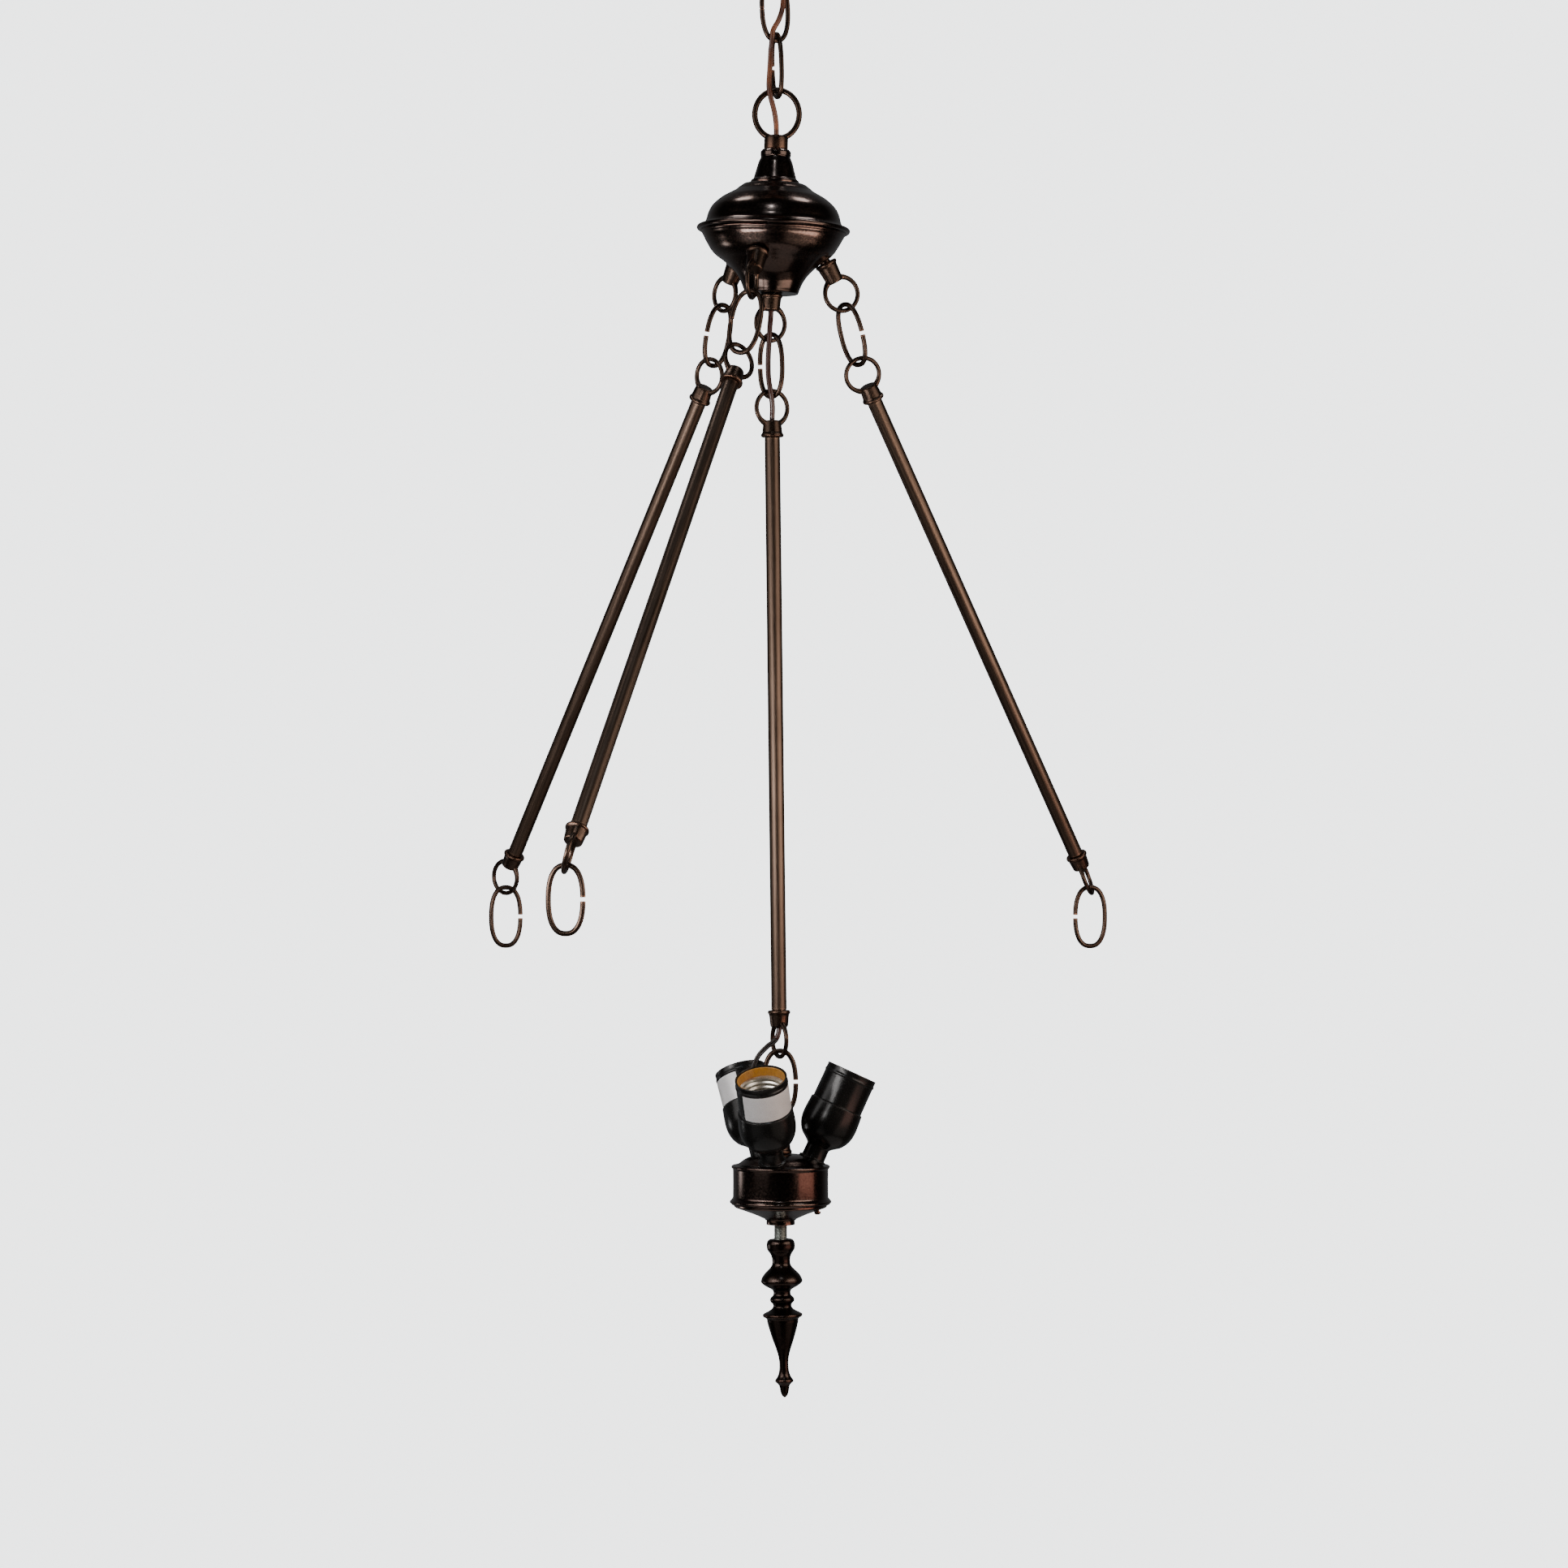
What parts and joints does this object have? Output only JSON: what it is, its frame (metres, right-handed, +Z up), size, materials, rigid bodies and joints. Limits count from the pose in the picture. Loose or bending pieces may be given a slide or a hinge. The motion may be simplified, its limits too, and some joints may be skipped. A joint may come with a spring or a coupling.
{
  "type": "pendant lamp",
  "caption": "Chain-hung pendant lamp with an onion-shaped cap, hinged splayed arms that end in links for a bowl, a hanging stem with a cluster of lamp sockets and a turned finial.",
  "frame": {"origin": "centre of the mounting strap's upper face, on the ceiling, where the supply pipe passes through it", "axes": "+Z up, along the lamp's hanging axis; +X to the right and +Y away, as the picture sees the lamp from -Y"},
  "size_m": [0.4686, 0.5342, 1.0911],
  "materials": {
    "dark_bronze": "near-black brown antique bronze, satin, copper where it is rubbed",
    "bronze": "dark antique bronze with copper edges",
    "rod_bronze": "brushed bronze-brown, lengthwise grain",
    "zinc_steel": "dull zinc plate",
    "black_shell": "matt black",
    "socket_insert": "amber liner over a cream insulator",
    "cord": "brown jacket"
  },
  "bodies": {
    "ceiling_fitting": {"mounting_strap": "zinc_steel", "strap_locknut": "zinc_steel", "canopy_nipple": "zinc_steel", "canopy": "dark_bronze", "screw_collar": "bronze", "canopy_loop": "bronze", "supply_cord_top": "cord"},
    "upper_link": {"chain_link_upper": "bronze", "supply_cord_middle": "cord"},
    "lower_link": {"chain_link_lower": "bronze"},
    "cap": {"hanging_loop": "bronze", "cap_neck": "dark_bronze", "cap_dome": "dark_bronze", "cap_bowl": "dark_bronze", "cap_tie_rod": "zinc_steel", "cap_locknut_right": "zinc_steel", "cap_locknut_left": "zinc_steel", "cap_locknut_front": "zinc_steel", "cap_loop_right": "bronze", "cap_loop_left": "bronze", "cap_loop_front": "bronze", "hub_loop": "bronze", "supply_cord_bottom": "cord", "hub_cord": "cord"},
    "arm_link_right": {"arm_link_right": "bronze"},
    "arm_right": {"arm_top_loop_right": "bronze", "arm_rod_right": "rod_bronze", "arm_bottom_loop_right": "bronze"},
    "end_link_right": {"end_link_right": "bronze"},
    "arm_link_left": {"arm_link_left": "bronze"},
    "arm_left": {"arm_top_loop_left": "bronze", "arm_rod_left": "rod_bronze", "arm_bottom_loop_left": "bronze"},
    "end_link_left": {"end_link_left": "bronze"},
    "arm_link_front": {"arm_link_front": "bronze"},
    "arm_front": {"arm_top_loop_front": "bronze", "arm_rod_front": "rod_bronze", "arm_bottom_loop_front": "bronze"},
    "end_link_front": {"end_link_front": "bronze"},
    "center_link": {"center_link": "bronze"},
    "stem": {"stem_top_loop": "bronze", "stem": "rod_bronze", "stem_bottom_loop": "bronze", "stem_cord_upper": "cord", "stem_cord_lower": "cord"},
    "cluster_link": {"cluster_link": "bronze"},
    "cluster": {"cluster_loop": "bronze", "cluster_body": "dark_bronze", "cluster_cover": "dark_bronze", "cover_screw": "bronze", "cover_nut": "dark_bronze", "threaded_rod": "zinc_steel", "finial": "dark_bronze", "socket_right": "black_shell", "socket_left": "black_shell", "socket_front": "black_shell", "socket_insert_right": "socket_insert", "socket_insert_left": "socket_insert", "socket_insert_front": "socket_insert", "cluster_cord": "cord"}
  },
  "joints": [
    {"name": "upper_link_swing", "type": "hinge", "parent": "ceiling_fitting", "child": "upper_link", "pos_m": [0, 0, -0.0815], "axis": [-0.5736, 0.8192, 0], "range_deg": [-25, 25], "deforming": ["supply_cord_top"]},
    {"name": "lower_link_swing", "type": "hinge", "parent": "upper_link", "child": "lower_link", "pos_m": [0.00153, 0, -0.12111], "axis": [-0.8187, -0.5736, -0.0286], "range_deg": [-25, 25], "deforming": ["supply_cord_middle"]},
    {"name": "cap_swing", "type": "hinge", "parent": "lower_link", "child": "cap", "pos_m": [0.00293, 0, -0.16119], "axis": [-0.2922, 0.9563, -0.0102], "range_deg": [-25, 25], "deforming": ["supply_cord_bottom"]},
    {"name": "arm_link_right_swing", "type": "hinge", "parent": "cap", "child": "arm_link_right", "pos_m": [0.04848, 0.01544, -0.30024], "axis": [-0.6626, 0.749, 0], "range_deg": [-16, 17.5]},
    {"name": "arm_right_swing", "type": "hinge", "parent": "arm_link_right", "child": "arm_right", "pos_m": [0.06123, 0.02343, -0.35038], "axis": [-0.6626, 0.749, 0], "range_deg": [-25, 16.5]},
    {"name": "end_link_right_swing", "type": "hinge", "parent": "arm_right", "child": "end_link_right", "pos_m": [0.23535, 0.17859, -0.72214], "axis": [0.9154, -0.2129, 0.3416], "range_deg": [-40, 40]},
    {"name": "arm_link_left_swing", "type": "hinge", "parent": "cap", "child": "arm_link_left", "pos_m": [-0.03547, 0.04015, -0.2976], "axis": [0.7169, 0.6972, 0], "range_deg": [-13.5, 22]},
    {"name": "arm_left_swing", "type": "hinge", "parent": "arm_link_left", "child": "arm_left", "pos_m": [-0.04462, 0.04739, -0.34874], "axis": [0.7169, 0.6972, 0], "range_deg": [-20, 25]},
    {"name": "end_link_left_swing", "type": "hinge", "parent": "arm_left", "child": "end_link_left", "pos_m": [-0.20512, 0.21296, -0.72205], "axis": [-0.6534, -0.7552, -0.0533], "range_deg": [-40, 40]},
    {"name": "arm_link_front_swing", "type": "hinge", "parent": "cap", "child": "arm_link_front", "pos_m": [-0.01534, -0.05068, -0.29823], "axis": [0.9107, -0.4131, 0], "range_deg": [-22, 10]},
    {"name": "arm_front_swing", "type": "hinge", "parent": "arm_link_front", "child": "arm_front", "pos_m": [-0.02402, -0.0557, -0.34958], "axis": [0.9107, -0.4131, 0], "range_deg": [-22, 29]},
    {"name": "end_link_front_swing", "type": "hinge", "parent": "arm_front", "child": "end_link_front", "pos_m": [-0.13217, -0.298, -0.69911], "axis": [-0.9653, 0.0765, 0.2498], "range_deg": [-40, 40]},
    {"name": "center_link_swing", "type": "hinge", "parent": "cap", "child": "center_link", "pos_m": [-0.00282, 0, -0.33543], "axis": [0.8286, 0.5592, -0.026], "range_deg": [-15, 15], "deforming": ["hub_cord"]},
    {"name": "stem_swing", "type": "hinge", "parent": "center_link", "child": "stem", "pos_m": [-0.00145, 0, -0.37552], "axis": [-0.7069, 0.7071, -0.016], "range_deg": [-12, 12], "deforming": ["stem_cord_upper"]},
    {"name": "cluster_link_swing", "type": "hinge", "parent": "stem", "child": "cluster_link", "pos_m": [0.00408, 0.00003, -0.84724], "axis": [-0.4067, 0.9135, -0.0048], "range_deg": [-20, 20], "deforming": ["stem_cord_lower"]},
    {"name": "cluster_swing", "type": "hinge", "parent": "cluster_link", "child": "cluster", "pos_m": [0.00482, 0.00001, -0.88748], "axis": [0.9998, 0, 0.0175], "range_deg": [-20, 20], "deforming": ["cluster_cord"]}
  ]
}
